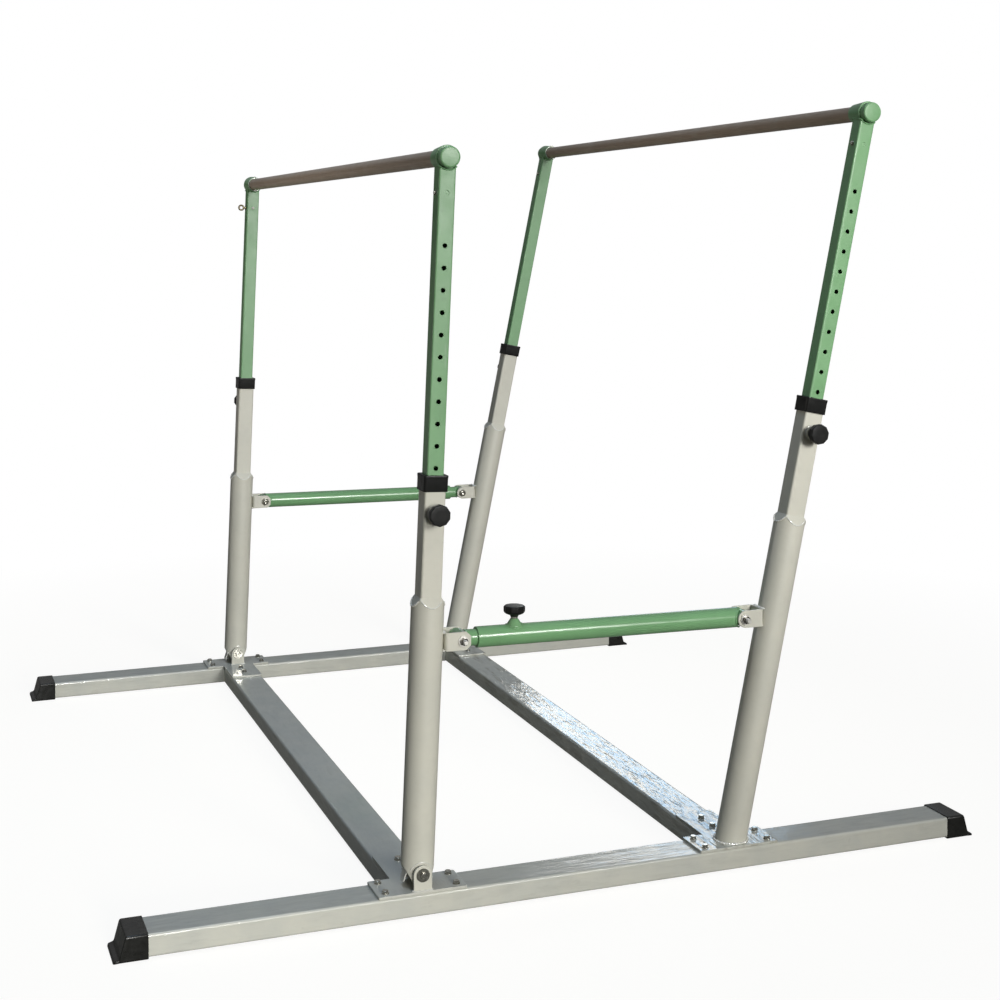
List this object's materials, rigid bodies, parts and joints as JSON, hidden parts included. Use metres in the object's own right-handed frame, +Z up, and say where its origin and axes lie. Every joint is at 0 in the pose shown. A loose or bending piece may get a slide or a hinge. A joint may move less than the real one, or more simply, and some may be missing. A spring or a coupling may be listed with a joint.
{
  "type": "adjustable parallel bars",
  "caption": "Free-standing uneven parallel bars with telescoping uprights, an adjustable lane width and a flat bolted floor frame.",
  "frame": {"origin": "centre of the floor rails on the floor, under the rail caps' soles", "axes": "+X along the floor rails towards the outward-leaning bar, +Y along the bars away from the end with the screwed clamp knob near the hinged posts, +Z up"},
  "size_m": [2.152, 2.236, 1.8565],
  "materials": {
    "front_clamp_knob": "matt black",
    "front_cross_inner": "pale green paint, satin",
    "front_cross_outer": "pale green paint, satin",
    "front_rail": "light grey paint, satin",
    "left_bar": "dark brown coat, matt",
    "left_beam": "light grey paint, satin",
    "left_front_bolts_left": "zinc plated",
    "left_front_bolts_right": "zinc plated",
    "left_front_bolts_stem": "zinc plated",
    "left_front_bracket_bolt": "zinc plated",
    "left_front_collar": "matt black",
    "left_front_foot": "light grey paint, satin",
    "left_front_hinge_bolt": "zinc plated",
    "left_front_knob": "matt black",
    "left_front_post": "light grey paint, satin",
    "left_front_rail_cap": "matt black",
    "left_front_side_bolt": "zinc plated",
    "left_front_sleeve_cap": "pale green paint, satin",
    "left_front_upright": "pale green paint, satin",
    "left_rear_bolts_left": "zinc plated",
    "left_rear_bolts_right": "zinc plated",
    "left_rear_bolts_stem": "zinc plated",
    "left_rear_bracket_bolt": "zinc plated",
    "left_rear_collar": "matt black",
    "left_rear_foot": "light grey paint, satin",
    "left_rear_hinge_bolt": "zinc plated",
    "left_rear_knob": "matt black",
    "left_rear_post": "light grey paint, satin",
    "left_rear_rail_cap": "matt black",
    "left_rear_side_bolt": "passivated",
    "left_rear_sleeve_cap": "pale green paint, satin",
    "left_rear_upright": "pale green paint, satin",
    "rear_clamp_knob": "matt black",
    "rear_cross_inner": "pale green paint, satin",
    "rear_cross_outer": "pale green paint, satin",
    "rear_rail": "light grey paint, satin",
    "right_bar": "dark brown coat, matt",
    "right_beam": "light grey paint, satin",
    "right_front_bolts_left": "zinc plated",
    "right_front_bolts_right": "zinc plated",
    "right_front_bolts_stem": "zinc plated",
    "right_front_bracket_bolt": "zinc plated",
    "right_front_collar": "matt black",
    "right_front_knob": "matt black",
    "right_front_post": "light grey paint, satin",
    "right_front_rail_cap": "matt black",
    "right_front_side_bolt": "zinc plated",
    "right_front_sleeve_cap": "pale green paint, satin",
    "right_front_upright": "pale green paint, satin",
    "right_rear_bolts_left": "zinc plated",
    "right_rear_bolts_right": "zinc plated",
    "right_rear_bolts_stem": "zinc plated",
    "right_rear_bracket_bolt": "zinc plated",
    "right_rear_collar": "matt black",
    "right_rear_knob": "matt black",
    "right_rear_post": "light grey paint, satin",
    "right_rear_rail_cap": "matt black",
    "right_rear_side_bolt": "zinc plated",
    "right_rear_sleeve_cap": "pale green paint, satin",
    "right_rear_upright": "pale green paint, satin"
  },
  "bodies": {
    "floor_frame": {"front_rail": "front_rail", "left_beam": "left_beam", "left_front_bolts_left": "left_front_bolts_left", "left_front_bolts_right": "left_front_bolts_right", "left_front_bolts_stem": "left_front_bolts_stem", "left_front_foot": "left_front_foot", "left_front_hinge_bolt": "left_front_hinge_bolt", "left_front_rail_cap": "left_front_rail_cap", "left_rear_bolts_left": "left_rear_bolts_left", "left_rear_bolts_right": "left_rear_bolts_right", "left_rear_bolts_stem": "left_rear_bolts_stem", "left_rear_foot": "left_rear_foot", "left_rear_hinge_bolt": "left_rear_hinge_bolt", "left_rear_rail_cap": "left_rear_rail_cap", "rear_rail": "rear_rail", "right_beam": "right_beam", "right_front_bolts_left": "right_front_bolts_left", "right_front_bolts_right": "right_front_bolts_right", "right_front_bolts_stem": "right_front_bolts_stem", "right_front_bracket_bolt": "right_front_bracket_bolt", "right_front_collar": "right_front_collar", "right_front_post": "right_front_post", "right_front_rail_cap": "right_front_rail_cap", "right_rear_bolts_left": "right_rear_bolts_left", "right_rear_bolts_right": "right_rear_bolts_right", "right_rear_bolts_stem": "right_rear_bolts_stem", "right_rear_bracket_bolt": "right_rear_bracket_bolt", "right_rear_collar": "right_rear_collar", "right_rear_post": "right_rear_post", "right_rear_rail_cap": "right_rear_rail_cap"},
    "left_frame": {"left_front_bracket_bolt": "left_front_bracket_bolt", "left_front_collar": "left_front_collar", "left_front_post": "left_front_post", "left_rear_bracket_bolt": "left_rear_bracket_bolt", "left_rear_collar": "left_rear_collar", "left_rear_post": "left_rear_post"},
    "left_bar_lift": {"left_bar": "left_bar", "left_front_side_bolt": "left_front_side_bolt", "left_front_sleeve_cap": "left_front_sleeve_cap", "left_front_upright": "left_front_upright", "left_rear_side_bolt": "left_rear_side_bolt", "left_rear_sleeve_cap": "left_rear_sleeve_cap", "left_rear_upright": "left_rear_upright"},
    "right_bar_lift": {"right_bar": "right_bar", "right_front_side_bolt": "right_front_side_bolt", "right_front_sleeve_cap": "right_front_sleeve_cap", "right_front_upright": "right_front_upright", "right_rear_side_bolt": "right_rear_side_bolt", "right_rear_sleeve_cap": "right_rear_sleeve_cap", "right_rear_upright": "right_rear_upright"},
    "front_clamp_knob": {"front_clamp_knob": "front_clamp_knob"},
    "front_cross_inner": {"front_cross_inner": "front_cross_inner"},
    "front_cross_outer": {"front_cross_outer": "front_cross_outer"},
    "left_front_knob": {"left_front_knob": "left_front_knob"},
    "left_rear_knob": {"left_rear_knob": "left_rear_knob"},
    "rear_clamp_knob": {"rear_clamp_knob": "rear_clamp_knob"},
    "rear_cross_inner": {"rear_cross_inner": "rear_cross_inner"},
    "rear_cross_outer": {"rear_cross_outer": "rear_cross_outer"},
    "right_front_knob": {"right_front_knob": "right_front_knob"},
    "right_rear_knob": {"right_rear_knob": "right_rear_knob"}
  },
  "joints": [
    {"name": "left_frame_tilt", "type": "hinge", "parent": "floor_frame", "child": "left_frame", "pos_m": [-0.389, 0, 0.096], "axis": [0, 1, 0], "range_deg": [-10, 0]},
    {"name": "left_bar_height", "type": "slide", "parent": "left_frame", "child": "left_bar_lift", "axis": [0.0471, 0, 0.9989], "range_m": [-0.55, 0.05]},
    {"name": "right_bar_height", "type": "slide", "parent": "floor_frame", "child": "right_bar_lift", "axis": [0.2028, 0, 0.9792], "range_m": [-0.6, 0.05]},
    {"name": "left_front_knob_push", "type": "slide", "parent": "left_frame", "child": "left_front_knob", "axis": [0, 1, 0], "range_m": [0, 0.008]},
    {"name": "right_front_knob_push", "type": "slide", "parent": "floor_frame", "child": "right_front_knob", "axis": [0, 1, 0], "range_m": [0, 0.008]},
    {"name": "left_rear_knob_push", "type": "slide", "parent": "left_frame", "child": "left_rear_knob", "axis": [0, -1, 0], "range_m": [0, 0.008]},
    {"name": "right_rear_knob_push", "type": "slide", "parent": "floor_frame", "child": "right_rear_knob", "axis": [0, -1, 0], "range_m": [0, 0.008]},
    {"name": "front_cross_swing", "type": "hinge", "parent": "floor_frame", "child": "front_cross_outer", "pos_m": [0.43294, -1.05, 0.60356], "axis": [0, 1, 0], "range_deg": [0, 0.74]},
    {"name": "front_cross_extend", "type": "slide", "parent": "front_cross_outer", "child": "front_cross_inner", "axis": [-0.9999, 0, 0.0141], "range_m": [0, 0.0916]},
    {"name": "front_clamp_unscrew", "type": "slide", "parent": "front_cross_outer", "child": "front_clamp_knob", "axis": [0.0141, 0, 0.9999], "range_m": [0, 0.01]},
    {"name": "rear_cross_swing", "type": "hinge", "parent": "floor_frame", "child": "rear_cross_inner", "pos_m": [0.43294, 1.05, 0.60356], "axis": [0, 1, 0], "range_deg": [0, 0.74]},
    {"name": "rear_cross_extend", "type": "slide", "parent": "rear_cross_inner", "child": "rear_cross_outer", "axis": [-0.9999, 0, 0.0141], "range_m": [0, 0.0916]},
    {"name": "rear_clamp_unscrew", "type": "slide", "parent": "rear_cross_outer", "child": "rear_clamp_knob", "axis": [0.0141, 0, 0.9999], "range_m": [0, 0.01]}
  ],
  "couplings": [
    {"joint": "front_cross_swing", "follows": "left_frame_tilt", "ratio": -0.073481},
    {"joint": "front_cross_extend", "follows": "left_frame_tilt", "m_per_rad": -0.52428},
    {"joint": "rear_cross_swing", "follows": "left_frame_tilt", "ratio": -0.073481},
    {"joint": "rear_cross_extend", "follows": "left_frame_tilt", "m_per_rad": -0.52428}
  ]
}
